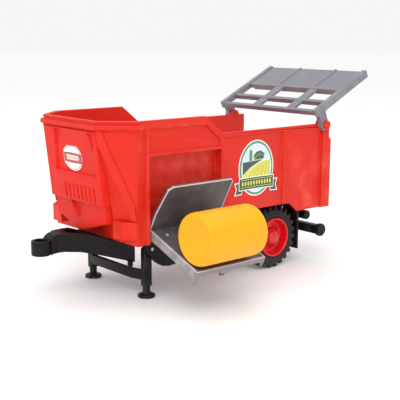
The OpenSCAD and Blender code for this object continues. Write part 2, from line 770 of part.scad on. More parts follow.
tub_shell();
front_panel();
lower_corner_left();
lower_corner_right();
front_badge();
side_label_left();
side_label_right();
chassis_frame();
drawbar();
chassis_screws();
axle_rod();
mudflap_left();
mudflap_right();
rear_bar();
rear_bar_caps();
stand_pins();
gate_studs();
tray_hinge_pin();
tyre_left();
rim_left();
hub_cap_left();
tyre_right();
rim_right();
hub_cap_right();
stand_frame();
foot_left();
foot_right();
gate_frame();
gate_plate();
tray_skirt();
tray_deck();
tray_back();
bale();
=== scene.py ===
"""Toy farm trailer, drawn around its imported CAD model, in metres, in the frame of the hitch eye."""
import math

import bmesh
import bpy
import numpy as np
from mathutils import Matrix, Vector


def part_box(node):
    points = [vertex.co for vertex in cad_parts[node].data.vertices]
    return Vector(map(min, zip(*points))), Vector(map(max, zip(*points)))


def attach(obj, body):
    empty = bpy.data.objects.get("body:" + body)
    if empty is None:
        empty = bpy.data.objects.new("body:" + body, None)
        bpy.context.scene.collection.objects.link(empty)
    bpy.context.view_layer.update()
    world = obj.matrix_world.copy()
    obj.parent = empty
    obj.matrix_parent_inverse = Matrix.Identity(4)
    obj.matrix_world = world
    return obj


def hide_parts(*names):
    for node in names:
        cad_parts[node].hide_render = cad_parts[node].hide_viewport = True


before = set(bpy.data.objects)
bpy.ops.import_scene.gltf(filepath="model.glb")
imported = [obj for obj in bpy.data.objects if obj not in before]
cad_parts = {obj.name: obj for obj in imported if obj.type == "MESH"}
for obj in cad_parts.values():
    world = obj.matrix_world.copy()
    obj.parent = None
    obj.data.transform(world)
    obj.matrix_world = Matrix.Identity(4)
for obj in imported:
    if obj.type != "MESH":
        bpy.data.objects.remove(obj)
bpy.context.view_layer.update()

MM = 0.001
GROUND = -39.5 * MM
SIDES = {"left": -1, "right": 1}

# ---------------------------------------------------------------- camera

CAMERA_PLACE = Vector((-0.2907, -0.4956, 0.14335))
LENS_MM, SENSOR_MM = 77.436, 36
YAW, PITCH, ROLL = math.radians(41.15), math.radians(11.03), math.radians(0.286)


def add_camera():
    """Camera that looks along yaw and down by pitch, and is turned a little about its own axis."""
    forward = Vector((math.sin(YAW) * math.cos(PITCH), math.cos(YAW) * math.cos(PITCH), -math.sin(PITCH)))
    level = Vector((math.cos(YAW), -math.sin(YAW), 0))
    upright = level.cross(forward)
    right = math.cos(ROLL) * level + math.sin(ROLL) * upright
    up = -math.sin(ROLL) * level + math.cos(ROLL) * upright
    data = bpy.data.cameras.new("camera")
    data.lens, data.sensor_width, data.clip_start = LENS_MM, SENSOR_MM, 0.01
    camera = bpy.data.objects.new("camera", data)
    camera.matrix_world = Matrix((
        (right.x, up.x, -forward.x, CAMERA_PLACE.x),
        (right.y, up.y, -forward.y, CAMERA_PLACE.y),
        (right.z, up.z, -forward.z, CAMERA_PLACE.z),
        (0, 0, 0, 1)))
    bpy.context.scene.collection.objects.link(camera)
    bpy.context.scene.camera = camera


add_camera()

# ---------------------------------------------------------------- node groups


class Graph:
    """Short way to write a shader node tree."""

    def __init__(self, tree):
        self.tree = tree

    def node(self, kind, inputs=None, **settings):
        made = self.tree.nodes.new(kind)
        for key, value in settings.items():
            setattr(made, key, value)
        for key, value in (inputs or {}).items():
            self.put(made.inputs[key], value)
        return made

    def put(self, socket, value):
        if isinstance(value, bpy.types.NodeSocket):
            self.tree.links.new(value, socket)
        else:
            socket.default_value = value

    def math(self, operation, a, b=0.0, c=0.0):
        return self.node("ShaderNodeMath", {0: a, 1: b, 2: c}, operation=operation).outputs[0]

    def mix(self, factor, a, b):
        made = self.node("ShaderNodeMix", data_type="RGBA")
        self.put(made.inputs[0], factor)
        self.put(made.inputs[6], a)
        self.put(made.inputs[7], b)
        return made.outputs[2]

    def spread(self, value, low, high, to_low=0.0, to_high=1.0):
        return self.node("ShaderNodeMapRange", {0: value, 1: low, 2: high, 3: to_low, 4: to_high}).outputs[0]


def new_group(name, inputs, outputs):
    """Empty shader node group with named sockets. Returns its graph and its two end nodes."""
    tree = bpy.data.node_groups.new(name, "ShaderNodeTree")
    for socket, kind, value in inputs:
        made = tree.interface.new_socket(name=socket, in_out="INPUT", socket_type=kind)
        made.default_value = value
    for socket, kind in outputs:
        tree.interface.new_socket(name=socket, in_out="OUTPUT", socket_type=kind)
    graph = Graph(tree)
    return graph, graph.node("NodeGroupInput"), graph.node("NodeGroupOutput")


FLOAT, COLOUR, VECTOR = "NodeSocketFloat", "NodeSocketColor", "NodeSocketVector"


def make_moulded_skin():
    """Skin of moulded plastic: a fine spark-eroded grain, faint flow marks, and a gloss that follows them."""
    graph, start, end = new_group("moulded_skin", [
        ("Grain Scale", FLOAT, 2600.0), ("Flow", FLOAT, 0.5), ("Rough", FLOAT, 0.35),
        ("Rough Spread", FLOAT, 0.06)],
        [("Height", FLOAT), ("Roughness", FLOAT), ("Tone", FLOAT)])
    place = graph.node("ShaderNodeTexCoord").outputs["Object"]
    grain = graph.node("ShaderNodeTexNoise", {"Vector": place, "Scale": start.outputs["Grain Scale"],
                                              "Detail": 2.0, "Roughness": 0.6}).outputs[0]
    streaks = graph.node("ShaderNodeMapping", {"Vector": place, "Scale": (24.0, 24.0, 70.0)}).outputs[0]
    flow = graph.node("ShaderNodeTexNoise", {"Vector": streaks, "Scale": 1.0, "Detail": 3.0,
                                             "Distortion": 1.4}).outputs[0]
    cloud = graph.node("ShaderNodeTexNoise", {"Vector": place, "Scale": 34.0, "Detail": 4.0}).outputs[0]
    height = graph.math("MULTIPLY_ADD", flow, start.outputs["Flow"], grain)
    mixed = graph.math("ADD", graph.math("MULTIPLY", flow, 0.6), graph.math("MULTIPLY", cloud, 0.4))
    centred = graph.math("SUBTRACT", mixed, 0.5)
    rough = graph.math("MULTIPLY_ADD", centred, graph.math("MULTIPLY", start.outputs["Rough Spread"], 4.0),
                       start.outputs["Rough"])
    graph.put(end.inputs["Height"], height)
    graph.put(end.inputs["Roughness"], rough)
    graph.put(end.inputs["Tone"], graph.spread(mixed, 0.32, 0.68))
    return graph.tree


def make_edge_highlight_and_dust():
    """Pale outer edges, from pointiness, which are a painted highlight and partly wear, and patchy dust low
    down.
    """
    graph, start, end = new_group("edge_highlight_and_dust", [
        ("Edge Start", FLOAT, 0.53), ("Edge End", FLOAT, 0.62), ("Dust Height", FLOAT, -0.025)],
        [("Edge", FLOAT), ("Dust", FLOAT)])
    facts = graph.node("ShaderNodeNewGeometry")
    place = graph.node("ShaderNodeTexCoord").outputs["Object"]
    # Edge is a painted highlight on outer edges, partly wear, broken into patches.
    edge = graph.spread(facts.outputs["Pointiness"], start.outputs["Edge Start"], start.outputs["Edge End"])
    patch = graph.node("ShaderNodeTexNoise", {"Vector": place, "Scale": 90.0, "Detail": 5.0}).outputs[0]
    graph.put(end.inputs["Edge"], graph.math("MULTIPLY", edge, graph.spread(patch, 0.42, 0.66)))
    low = graph.node("ShaderNodeSeparateXYZ", {0: place}).outputs[2]
    near_ground = graph.spread(low, start.outputs["Dust Height"], GROUND)
    fine = graph.node("ShaderNodeTexNoise", {"Vector": place, "Scale": 420.0, "Detail": 6.0}).outputs[0]
    graph.put(end.inputs["Dust"], graph.math("MULTIPLY", near_ground, graph.spread(fine, 0.4, 0.75)))
    return graph.tree


SKIN = make_moulded_skin()
EDGE_HIGHLIGHT_AND_DUST = make_edge_highlight_and_dust()

# ---------------------------------------------------------------- materials


def linear(red, green, blue):
    """Display colour, 0 to 255, as a linear colour."""
    parts = [c / 255 for c in (red, green, blue)]
    return tuple(p / 12.92 if p < 0.04045 else ((p + 0.055) / 1.055) ** 2.4 for p in parts) + (1.0,)


DUST = linear(176, 166, 150)


def plastic(name, light, dark, rough=0.35, spread=0.06, grain=2600.0, flow=0.5, bump=0.06, coat=0.0,
            edge=None, edge_amount=0.25, dust=0.12, soft=0.0, soft_colour=None, specular=0.5):
    """Moulded plastic whose colour drifts between two tones, with pale edges that are a painted highlight and
    partly wear, and a little low dust.
    """
    made = bpy.data.materials.new(name)
    made.use_nodes = True
    made.diffuse_color = light
    graph = Graph(made.node_tree)
    shader = made.node_tree.nodes["Principled BSDF"]
    skin = graph.node("ShaderNodeGroup", node_tree=SKIN)
    for socket, value in (("Grain Scale", grain), ("Flow", flow), ("Rough", rough), ("Rough Spread", spread)):
        skin.inputs[socket].default_value = value
    edge_light_and_dust = graph.node("ShaderNodeGroup", node_tree=EDGE_HIGHLIGHT_AND_DUST)
    colour = graph.mix(skin.outputs["Tone"], dark, light)
    # Edges painted paler: a painted highlight, partly wear.
    edge_highlight_and_wear = graph.math("MULTIPLY", edge_light_and_dust.outputs["Edge"], edge_amount)
    colour = graph.mix(edge_highlight_and_wear, colour, edge or light)
    colour = graph.mix(graph.math("MULTIPLY", edge_light_and_dust.outputs["Dust"], dust), colour, DUST)
    graph.put(shader.inputs["Base Color"], colour)
    graph.put(shader.inputs["Roughness"], skin.outputs["Roughness"])
    bumped = graph.node("ShaderNodeBump", {"Height": skin.outputs["Height"], "Strength": bump,
                                           "Distance": 0.00012})
    graph.put(shader.inputs["Normal"], bumped.outputs[0])
    shader.inputs["Specular IOR Level"].default_value = specular
    shader.inputs["Coat Weight"].default_value = coat
    shader.inputs["Coat Roughness"].default_value = 0.12
    if soft:
        shader.inputs["Subsurface Weight"].default_value = soft
        shader.inputs["Subsurface Radius"].default_value = soft_colour
        shader.inputs["Subsurface Scale"].default_value = 0.0015
    return made


RED = plastic("red_tub_plastic", linear(221, 41, 22), linear(213, 34, 18), rough=0.46, grain=2300.0,
              bump=0.05, edge=linear(250, 104, 84), edge_amount=0.35, soft=0.12,
              soft_colour=(1.0, 0.12, 0.06), specular=0.26)
PANEL_RED = plastic("red_panel_plastic", linear(226, 38, 21), linear(218, 32, 18), rough=0.45, grain=2500.0,
                    bump=0.05, edge=linear(252, 112, 92), edge_amount=0.3, soft=0.12,
                    soft_colour=(1.0, 0.12, 0.06), specular=0.2)
RIM_RED = plastic("red_rim_plastic", linear(222, 14, 26), linear(208, 8, 20), rough=0.27, grain=2600.0,
                  bump=0.04, edge=linear(245, 110, 110), edge_amount=0.4, coat=0.2)
BLACK = plastic("black_frame_plastic", linear(21, 18, 20), linear(13, 11, 13), rough=0.46, grain=1800.0,
                bump=0.12, edge=linear(90, 86, 86), edge_amount=0.35, dust=0.14, specular=0.2)
RUBBER = plastic("tyre_soft_plastic", linear(41, 36, 38), linear(31, 27, 29), rough=0.58, spread=0.05,
                 grain=1500.0, bump=0.22, edge=linear(84, 76, 76), edge_amount=0.35, dust=0.2, specular=0.3)
GREY = plastic("grey_gate_plastic", linear(131, 130, 136), linear(122, 120, 128), rough=0.46, grain=2300.0,
               bump=0.07, edge=linear(206, 206, 208), edge_amount=0.6, specular=0.35)
# Darker copy of the tray's grey, for its deck, back plate and latch lip: painted shade, as the bale shades
# the deck.
SHADED_GREY = plastic("grey_tray_plastic_painted_shade", linear(86, 80, 83), linear(74, 68, 71), rough=0.4,
                    grain=2300.0, bump=0.07, edge=linear(190, 190, 190), edge_amount=0.6, specular=0.35)
LIGHT_GREY = plastic("light_grey_tray_plastic", linear(140, 136, 138), linear(124, 119, 121), rough=0.42,
                     grain=2300.0, bump=0.07, edge=linear(225, 225, 225), edge_amount=0.6, specular=0.4)
# Pale grey for the tray's lip, bead and ejector mark: a painted highlight on the lip's and bead's edges, over
# a real moulded rim.
HIGHLIGHT_GREY = plastic("pale_grey_painted_highlight_plastic", linear(208, 205, 206), linear(190, 187, 189), rough=0.36,
                   grain=2300.0, bump=0.05, edge=linear(235, 235, 235), edge_amount=0.5)
YELLOW = plastic("yellow_bale_plastic", linear(247, 177, 6), linear(244, 167, 4), rough=0.44, grain=1300.0,
                 bump=0.08, edge=linear(255, 222, 70), edge_amount=0.3, soft=0.2,
                 soft_colour=(1.0, 0.45, 0.04), specular=0.3)


def film(name, colour, second=None, rough=0.3):
    """Printed film: the ink is a fine screen of two close tones under a thin clear layer."""
    second = second or tuple(0.88 * c for c in colour[:3]) + (1.0,)
    made = bpy.data.materials.new(name)
    made.use_nodes = True
    made.diffuse_color = colour
    graph = Graph(made.node_tree)
    shader = made.node_tree.nodes["Principled BSDF"]
    skin = graph.node("ShaderNodeGroup", node_tree=SKIN)
    for socket, value in (("Grain Scale", 5200.0), ("Flow", 0.2), ("Rough", rough), ("Rough Spread", 0.04)):
        skin.inputs[socket].default_value = value
    place = graph.node("ShaderNodeTexCoord").outputs["Object"]
    screen = graph.node("ShaderNodeTexVoronoi", {"Vector": place, "Scale": 3400.0}).outputs["Distance"]
    tone = graph.math("MULTIPLY", graph.spread(screen, 0.2, 0.6), 0.35)
    graph.put(shader.inputs["Base Color"], graph.mix(tone, colour, second))
    graph.put(shader.inputs["Roughness"], skin.outputs["Roughness"])
    bumped = graph.node("ShaderNodeBump", {"Height": skin.outputs["Height"], "Strength": 0.03,
                                           "Distance": 0.0001})
    graph.put(shader.inputs["Normal"], bumped.outputs[0])
    shader.inputs["Coat Weight"].default_value = 0.3
    return made


INK = {
    "white": film("ink_white", linear(250, 248, 240)),
    "ring": film("ink_ring_green", linear(96, 150, 116)),
    "green": film("ink_dark_green", linear(42, 84, 44)),
    "field": film("ink_field", linear(226, 222, 96)),
    "furrow": film("ink_furrow", linear(190, 190, 40)),
    "sky": film("ink_sky", linear(222, 236, 246), linear(180, 210, 236)),
    "slate": film("ink_slate", linear(66, 80, 74)),
    "leaf": film("ink_leaf", linear(98, 142, 70)),
    "red": film("ink_red", linear(206, 44, 40)),
    "grey": film("ink_grey", linear(84, 88, 90)),
}


def brushed_steel():
    """Drawn steel wire: fine lines along the wire in roughness and bump."""
    made = bpy.data.materials.new("drawn_steel")
    made.use_nodes = True
    graph = Graph(made.node_tree)
    shader = made.node_tree.nodes["Principled BSDF"]
    place = graph.node("ShaderNodeTexCoord").outputs["Object"]
    lines = graph.node("ShaderNodeMapping", {"Vector": place, "Scale": (4000.0, 60.0, 4000.0)}).outputs[0]
    noise = graph.node("ShaderNodeTexNoise", {"Vector": lines, "Scale": 1.0, "Detail": 3.0}).outputs[0]
    graph.put(shader.inputs["Base Color"], graph.mix(noise, linear(150, 150, 152), linear(196, 196, 198)))
    graph.put(shader.inputs["Roughness"], graph.spread(noise, 0.3, 0.7, 0.26, 0.42))
    bumped = graph.node("ShaderNodeBump", {"Height": noise, "Strength": 0.1, "Distance": 0.00005})
    graph.put(shader.inputs["Normal"], bumped.outputs[0])
    shader.inputs["Metallic"].default_value = 1.0
    return made


STEEL = brushed_steel()

# ---------------------------------------------------------------- mesh helpers


def link(name, mesh, material, body):
    """Puts a finished mesh in the scene as a piece of a body."""
    made = bpy.data.objects.new(name, mesh)
    mesh.materials.clear()
    mesh.materials.append(material)
    bpy.context.scene.collection.objects.link(made)
    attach(made, body)
    return made


def mesh_from(name, points, faces, smooth=True):
    """Mesh from an array of points and a list of faces, with faces turned outwards."""
    mesh = bpy.data.meshes.new(name)
    mesh.from_pydata(points.reshape(-1, 3).tolist(), [], faces)
    work = bmesh.new()
    work.from_mesh(mesh)
    bmesh.ops.remove_doubles(work, verts=work.verts, dist=1e-7)
    bmesh.ops.recalc_face_normals(work, faces=work.faces)
    work.to_mesh(mesh)
    work.free()
    mesh.polygons.foreach_set("use_smooth", [smooth] * len(mesh.polygons))
    return mesh


def grid_faces(rows, columns, wrap_rows=True, wrap_columns=False):
    """Quads of a grid whose point number is row * columns + column."""
    row = np.arange(rows if wrap_rows else rows - 1)
    column = np.arange(columns if wrap_columns else columns - 1)
    r, c = np.meshgrid(row, column, indexing="ij")
    r2, c2 = (r + 1) % rows, (c + 1) % columns
    quads = np.stack([r * columns + c, r * columns + c2, r2 * columns + c2, r2 * columns + c], -1)
    return quads.reshape(-1, 4).tolist()


def sharpen(mesh, degrees):
    """Edges that turn by more than the angle stay crisp in shading."""
    mesh.set_sharp_from_angle(angle=math.radians(degrees))


def edge_room(face_edges, points):
    """For each sharp edge of a face, the distance across the face to its nearest other sharp edge."""
    room = {}
    starts = np.array([points[a] for a, b in face_edges])
    ends = np.array([points[b] for a, b in face_edges])
    along = ends - starts
    length = np.maximum(np.linalg.norm(along, axis=1), 1e-9)
    for i, (a, b) in enumerate(face_edges):
        best = 1.0
        direction = along[i] / length[i]
        for share in (0.15, 0.5, 0.85):
            spot = starts[i] + along[i] * share
            t = np.clip(((spot - starts) * along).sum(1) / length ** 2, 0, 1)
            gap = starts + along * t[:, None] - spot
            distance = np.linalg.norm(gap, axis=1)
            across = np.linalg.norm(gap - np.outer(gap @ direction, direction), axis=1)
            allowed = (across > 0.75 * distance) & (distance > 1e-7)
            allowed[i] = False
            for j, other in enumerate(face_edges):
                if a in other or b in other:
                    allowed[j] = False
            if allowed.any():
                best = min(best, distance[allowed].min())
        room[(a, b)] = best
    return room


def soften(node, width_mm, material, body, slot_name, segments=3, angle=26.0):
    """Copy of a CAD node whose sharp edges are rounded, each by what its two faces leave room for."""
    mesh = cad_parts[node].data.copy()
    mesh.name = node + "_rounded"
    work = bmesh.new()
    work.from_mesh(mesh)
    bmesh.ops.remove_doubles(work, verts=work.verts, dist=3e-6)
    bmesh.ops.dissolve_limit(work, angle_limit=math.radians(0.5), verts=work.verts, edges=work.edges)
    bmesh.ops.recalc_face_normals(work, faces=work.faces)
    work.verts.index_update()
    work.edges.index_update()
    points = np.array([v.co[:] for v in work.verts])
    limit = math.radians(angle)
    sharp = {e.index for e in work.edges if e.is_manifold and e.calc_face_angle(0.0) > limit}
    room = {index: 1.0 for index in sharp}
    for face in work.faces:
        edges = [e for e in face.edges if e.index in sharp]
        if len(edges) > 1:
            keys = [(e.verts[0].index, e.verts[1].index) for e in edges]
            found = edge_room(keys, points)
            for e, key in zip(edges, keys):
                room[e.index] = min(room[e.index], found[key])
    weight = work.edges.layers.float.new("bevel_weight_edge")
    for e in work.edges:
        if e.index in sharp:
            e[weight] = min(1.0, 0.42 * room[e.index] / (width_mm * MM))
    # Outer faces with a hollow outline are split into convex ones, which the bevel can follow.
    outer = [face for face in work.faces if face.normal.y * face.calc_center_median().y > 0]
    bmesh.ops.connect_verts_concave(work, faces=outer)
    work.to_mesh(mesh)
    work.free()
    mesh.polygons.foreach_set("use_smooth", [True] * len(mesh.polygons))
    sharpen(mesh, angle)
    made = link(node + "_rounded", mesh, material, body)
    bevel = made.modifiers.new("rounding", "BEVEL")
    bevel.width = width_mm * MM
    bevel.segments = segments
    bevel.limit_method = "WEIGHT"
    bevel.use_clamp_overlap = False
    bevel.harden_normals = True
    bevel.miter_outer = "MITER_ARC"
    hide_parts(node)
    return made


# ---------------------------------------------------------------- moulded CAD pieces

ROUNDED = [
    ("tub_shell", 0.55, RED, "trailer", "red_plastic"),
    ("lower_corner_left", 0.6, RED, "trailer", "red_plastic"),
    ("lower_corner_right", 0.6, RED, "trailer", "red_plastic"),
    ("chassis_frame", 0.35, BLACK, "trailer", "black_plastic"),
    ("drawbar", 0.8, BLACK, "trailer", "black_plastic"),
    ("mudflap_left", 0.3, BLACK, "trailer", "black_plastic"),
    ("mudflap_right", 0.3, BLACK, "trailer", "black_plastic"),
    ("rear_bar", 0.6, BLACK, "trailer", "black_plastic"),
    ("rear_bar_caps", 0.8, BLACK, "trailer", "black_plastic"),
    ("gate_studs", 0.3, RED, "trailer", "red_plastic"),
    ("stand_frame", 0.5, BLACK, "stand", "black_plastic"),
    ("foot_left", 0.4, BLACK, "stand", "black_plastic"),
    ("foot_right", 0.4, BLACK, "stand", "black_plastic"),
    ("gate_frame", 0.4, GREY, "rear_gate", "grey_plastic"),
    ("gate_plate", 0.4, GREY, "rear_gate", "grey_plastic"),
    # The tray's deck and back plate are in the grey with painted shade.
    ("tray_deck", 0.3, SHADED_GREY, "tray", "dark_grey_plastic"),
    ("tray_back", 0.3, SHADED_GREY, "tray", "dark_grey_plastic"),
]
for row in ROUNDED:
    soften(*row)
for node in ("chassis_screws", "axle_rod", "stand_pins", "tray_hinge_pin"):
    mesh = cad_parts[node].data
    mesh.materials.clear()
    mesh.materials.append(STEEL)

# ---------------------------------------------------------------- front panel


def smooth_step(value, low, high):
    """0 below low, 1 above high, and a smooth rise between them."""
    t = np.clip((value - low) / (high - low), 0, 1)
    return t * t * (3 - 2 * t)


def inside(y, z, corners, soft=0.5):
    """1 inside a convex outline of (y, z) corners and 0 outside. Its edge is soft over that many mm."""
    mask = np.ones(np.broadcast(y, z).shape)
    middle = np.mean(corners, axis=0)
    for i, (y0, z0) in enumerate(corners):
        y1, z1 = corners[(i + 1) % len(corners)]
        length = math.hypot(y1 - y0, z1 - z0)
        normal = ((z1 - z0) / length, (y0 - y1) / length)
        if (middle[0] - y0) * normal[0] + (middle[1] - z0) * normal[1] < 0:
            normal = (-normal[0], -normal[1])
        reach = (y - y0) * normal[0] + (z - z0) * normal[1]
        mask = mask * smooth_step(reach, -soft / 2, soft / 2)
    return mask


PANEL_HALF, PANEL_TOP, PANEL_LOW = 32.0, 118.8, 68.0
CHIN_HALF = 30.5
FIELD = [(9.5, 117.6), (18.4, 103.6), (21.6, 88.6), (-28.4, 88.6), (-26.2, 103.8), (-20.8, 117.6)]
POCKETS = [[(18.6, 117.4), (10.6, 117.4), (18.6, 104.8)], [(-30.4, 117.4), (-21.9, 117.4), (-26.6, 105.2)]]
SLOT_COUNT, SLOT_PITCH, SLOT_MIDDLE = 8, 4.95, -6.2


def upper_relief(y, z):
    """Depth of the leaning face: a field that sinks downwards, two corner pockets, and the grille's slots."""
    depth = inside(y, z, FIELD, 0.7) * (0.5 + 1.3 * smooth_step(118.0 - z, 0, 30))
    for pocket in POCKETS:
        depth = np.maximum(depth, 1.7 * inside(y, z, pocket, 0.6))
    for i in range(SLOT_COUNT):
        middle = SLOT_MIDDLE + (i - (SLOT_COUNT - 1) / 2) * SLOT_PITCH
        slot = [(middle - 0.95, 70.0), (middle - 0.95, 80.2), (middle + 0.95, 80.2), (middle + 0.95, 70.0)]
        depth = depth + 1.3 * inside(y, z, slot, 0.75)
    # Shallow frame round the grille block.
    block = [(25.8, 70.0), (22.6, 86.6), (-28.8, 86.6), (-30.2, 70.0)]
    return depth - 0.25 * inside(y, z, block, 0.9)


def chin_relief(y, z):
    """Depth of the chin's face: a vee notch that is open at the top."""
    return 2.1 * inside(y, z, [(11.4, 67.2), (2.2, 53.6), (-5.6, 67.2), (2.9, 75.0)], 0.7)


def add_front_panel():
    """Face x(y, z): leaning plane and relief, a ledge, then the chin. Each row closes behind."""
    low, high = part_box("front_panel")
    top_x, low_x, chin_x = low.x / MM + 0.05, low.x / MM + 5.8, 32.0
    columns = np.unique(np.concatenate([
        np.linspace(-PANEL_HALF, PANEL_HALF, 191), [0.0], PANEL_HALF - np.array([0.1, 0.2, 0.45, 0.8, 1.1]),
        -PANEL_HALF + np.array([0.1, 0.2, 0.45, 0.8, 1.1])]))
    rings, width = [], len(columns)
    round_edge = 0.9

    def border(distance):
        """How far a rounded border falls back at this distance from the edge."""
        t = np.clip(1 - distance / round_edge, 0, 1)
        return round_edge * (1 - np.sqrt(1 - t * t))

    def ring(y, x, z, back_x):
        z = z + 0 * y
        back_y = np.array([y[-1], 0.0, y[0]])
        back_z = np.array([z[-1], np.interp(0.0, y, z), z[0]])
        front = np.stack([x, y, z], -1)
        rings.append(np.concatenate([front, np.stack([back_x + 0 * back_y, back_y, back_z], -1)]))

    def behind(z):
        return min(44.6, 24 + 20 * (120 - z) / 61 + 0.7)

    side = border(PANEL_HALF - np.abs(columns))
    heights = np.unique(np.concatenate([
        np.linspace(PANEL_LOW, PANEL_TOP, 150), PANEL_TOP - np.array([0.1, 0.3, 0.6]),
        PANEL_LOW + np.array([0.1, 0.3, 0.6])]))[::-1]
    for z in heights:
        plane = top_x + (PANEL_TOP - z) / (PANEL_TOP - PANEL_LOW) * (low_x - top_x)
        edge = np.maximum(side, border(PANEL_TOP - z)) + border(z - PANEL_LOW) * 0.7
        ring(columns, plane + edge + upper_relief(columns, z), z, max(behind(z), plane + 3.4))
    chin = columns * CHIN_HALF / PANEL_HALF
    chin_side = border(CHIN_HALF - np.abs(chin))
    chin_low = 47.05 + 9 * np.abs(chin) / CHIN_HALF
    for share in np.concatenate([[0, 0.012, 0.03], np.linspace(0.05, 0.96, 56), [0.975, 0.99, 1]]):
        z = (PANEL_LOW - 0.02) * (1 - share) + chin_low * share
        edge = np.maximum(chin_side, border(z - chin_low))
        ring(chin, chin_x + edge + chin_relief(chin, z), z, min(high.x / MM, behind(z[width // 2])))
    points = np.array(rings)
    rows, size = points.shape[:2]
    faces = grid_faces(rows, size, wrap_rows=False, wrap_columns=True)
    middle = int(np.argmin(np.abs(columns)))
    for row, turn in ((0, 1), (rows - 1, -1)):
        start = row * size
        left = [start + i for i in range(middle + 1)] + [start + width + 1, start + width + 2]
        right = [start + i for i in range(middle, width)] + [start + width, start + width + 1]
        faces += [left[::turn], right[::turn]]
    points[..., 2] += GROUND / MM
    mesh = mesh_from("front_panel", points * MM, faces)
    sharpen(mesh, 50)
    made = link("front_panel_moulded", mesh, PANEL_RED, "trailer")
    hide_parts("front_panel")


add_front_panel()

# ---------------------------------------------------------------- wheels

AXLE = np.array([186.6, 0.0, -14.5])
WHEEL_MIDDLE = 30.5
TYRE_HALF = 8.0
LUGS = 24


def turned(name, profile, side, material, body, node, steps=128, crisp=32):
    """Profile of (radius, outward place), turned round the axle by x = r cos a and z = r sin a."""
    angle = np.linspace(0, 2 * np.pi, steps, endpoint=False)[:, None]
    radius, out = profile[None, :, 0], profile[None, :, 1]
    points = np.stack([
        AXLE[0] + radius * np.cos(angle),
        side * (WHEEL_MIDDLE + out) + 0 * angle,
        AXLE[2] + radius * np.sin(angle)], -1) * MM
    mesh = mesh_from(name, points, grid_faces(steps, len(profile), wrap_columns=True))
    sharpen(mesh, crisp)
    made = link(name, mesh, material, body)
    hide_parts(node)
    return made


def fillet_path(corners, rounds, steps=6):
    """Closed profile with each corner cut by a quadratic curve that starts and ends at its round's length."""
    corners = np.array(corners, float)
    path = []
    share = np.linspace(0, 1, steps)[:, None]
    for i, corner in enumerate(corners):
        if rounds[i] <= 0:
            path.append(corner[None, :])
            continue
        before = corners[i - 1] - corner
        after = corners[(i + 1) % len(corners)] - corner
        start = corner + before * min(0.49, rounds[i] / np.linalg.norm(before))
        end = corner + after * min(0.49, rounds[i] / np.linalg.norm(after))
        path.append((1 - share) ** 2 * start + 2 * share * (1 - share) * corner + share ** 2 * end)
    return np.concatenate(path)


def add_tyre(side_name):
    """Tyre: radius = carcass(w) + lug(a, w) for turn a and width w, with slanted lugs that lean with w."""
    side = SIDES[side_name]
    body = "wheel_" + side_name
    carcass = fillet_path([
        (15.52, 6.9), (16.6, 7.6), (18.4, 7.75), (18.9, 7.45), (19.5, 7.45), (20.2, 7.75), (21.4, 7.3),
        (22.6, 6.2), (22.85, 0.0), (22.6, -6.2), (21.4, -7.3), (20.2, -7.75), (18.4, -7.75), (16.6, -7.6),
        (15.52, -6.9)], [0.1, 0.9, 0.3, 0.25, 0.25, 0.5, 1.2, 1.2, 0, 1.2, 1.2, 1.0, 1.2, 0.9, 0.1], 5)
    # Extra points across the tread, where the lugs are.
    extra = []
    for i, point in enumerate(carcass):
        extra.append(point)
        following = carcass[(i + 1) % len(carcass)]
        if point[0] > 20.5 and following[0] > 20.5:
            pieces = max(1, int(np.linalg.norm(following - point) / 0.42))
            for k in range(1, pieces):
                extra.append(point + (following - point) * k / pieces)
    profile = np.array(extra)
    radius, out = profile[:, 0], profile[:, 1]
    pitch = 2 * np.pi / LUGS
    # Turn steps crowd at the lugs' two flanks.
    local = np.array([0.0, 0.08, 0.14, 0.18, 0.21, 0.24, 0.3, 0.4,
                      0.5, 0.58, 0.64, 0.68, 0.71, 0.74, 0.8, 0.9])
    angle = ((np.arange(LUGS)[:, None] + local[None, :]) * pitch).reshape(-1, 1)
    slant = 0.16 * np.abs(out[None, :]) / TYRE_HALF
    lift = np.zeros((angle.size, profile.shape[0]))
    for half, shift in ((1, 0.0), (-1, 0.5)):
        phase = ((angle / pitch + shift - slant) % 1.0)
        across = smooth_step(phase, 0.16, 0.24) * (1 - smooth_step(phase, 0.66, 0.74))
        reach = half * out[None, :]
        span = smooth_step(reach, -1.4, -0.7) * (1 - smooth_step(reach, 7.0, 7.7))
        lift = np.maximum(lift, across * span)
    top = smooth_step(radius, 20.6, 22.2)[None, :]
    height = lift * top * (24.95 - np.maximum(radius, 22.2))[None, :]
    grown = radius[None, :] + height
    wide = out[None, :] * (1 - 0.03 * lift * top)
    points = np.stack([
        AXLE[0] + grown * np.cos(angle),
        side * (WHEEL_MIDDLE + wide),
        AXLE[2] + grown * np.sin(angle)], -1) * MM
    mesh = mesh_from("tyre_" + side_name, points, grid_faces(angle.size, len(profile), wrap_columns=True))
    sharpen(mesh, 42)
    made = link("tyre_%s_treaded" % side_name, mesh, RUBBER, body)
    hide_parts("tyre_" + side_name)


RIM = fillet_path([
    (2.06, -7.0), (5.9, -7.0), (5.9, -1.6), (12.2, -1.6), (12.9, -7.0), (15.48, -7.0), (15.48, 7.1),
    (15.3, 8.5), (14.2, 8.55), (13.7, 7.6), (12.7, 2.4), (11.6, 1.4), (7.4, 2.3), (6.6, 3.2),
    (6.1, 5.7), (5.4, 6.0), (2.06, 6.0)],
    [0, 0.4, 0.5, 0.5, 0.3, 0.3, 0.2, 0.5, 0.5, 0.6, 1.2, 1.0, 1.0, 0.8, 0.5, 0.2, 0])
HUB = fillet_path([
    (0.0, 6.0), (5.35, 6.0), (5.5, 7.3), (4.7, 8.3), (3.2, 8.9), (2.9, 9.4), (1.3, 9.65), (0.0, 9.68)],
    [0, 0.2, 0.5, 0.8, 0.4, 0.3, 0.5, 0])

